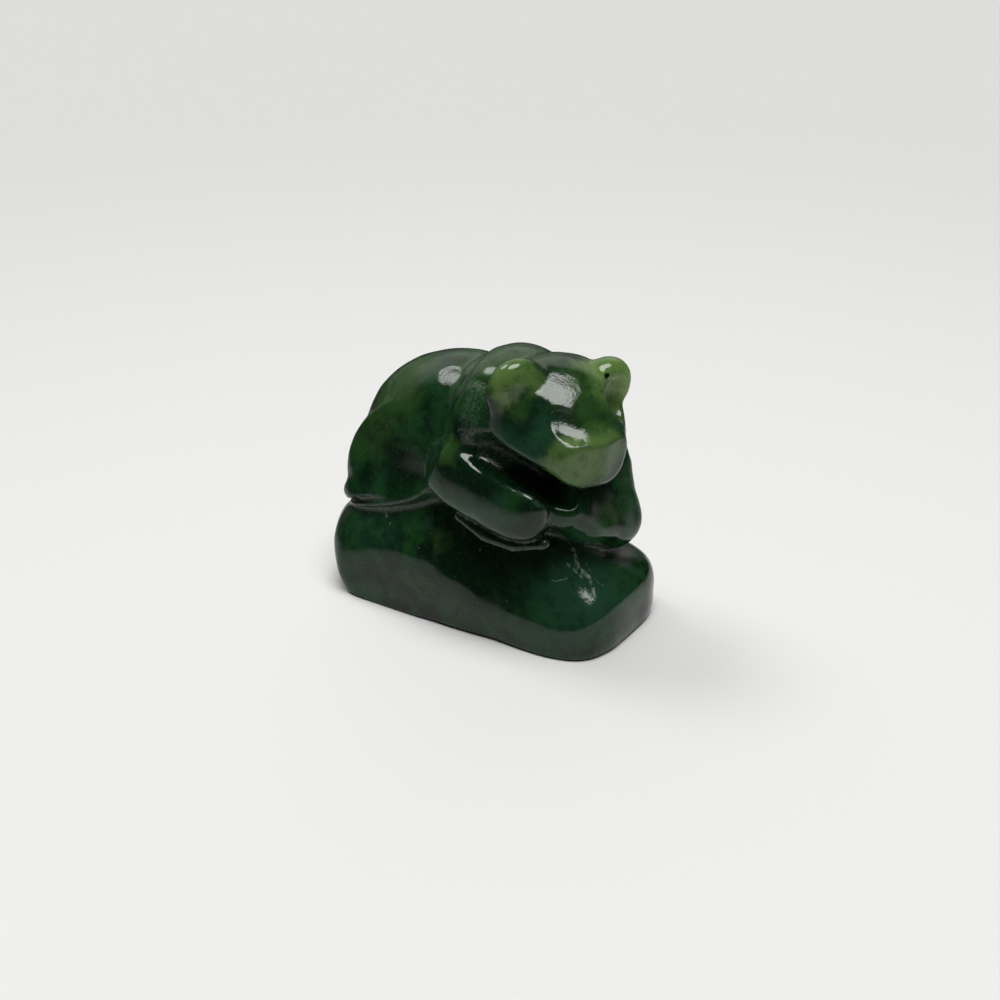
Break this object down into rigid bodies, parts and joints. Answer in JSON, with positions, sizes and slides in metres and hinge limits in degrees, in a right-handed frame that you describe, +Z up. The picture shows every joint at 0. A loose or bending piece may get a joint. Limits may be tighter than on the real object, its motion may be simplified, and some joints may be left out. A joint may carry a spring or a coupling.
{
  "type": "jade bear carving",
  "caption": "Polished green jade carving of a bear lying on a rounded rock, its head turned and its chin over its folded forelegs.",
  "frame": {"origin": "a point at the middle of the flat underside, at the height of the surface it stands on", "axes": "+X along the rock towards the bear's head end, +Y towards the bear's left side, +Z up"},
  "size_m": [0.0559, 0.0315, 0.0493],
  "materials": {
    "nephrite": "polished dark green nephrite, mottled lighter yellow-green"
  },
  "bodies": {
    "root": {"jade_bear_on_rock": "nephrite"}
  },
  "joints": []
}
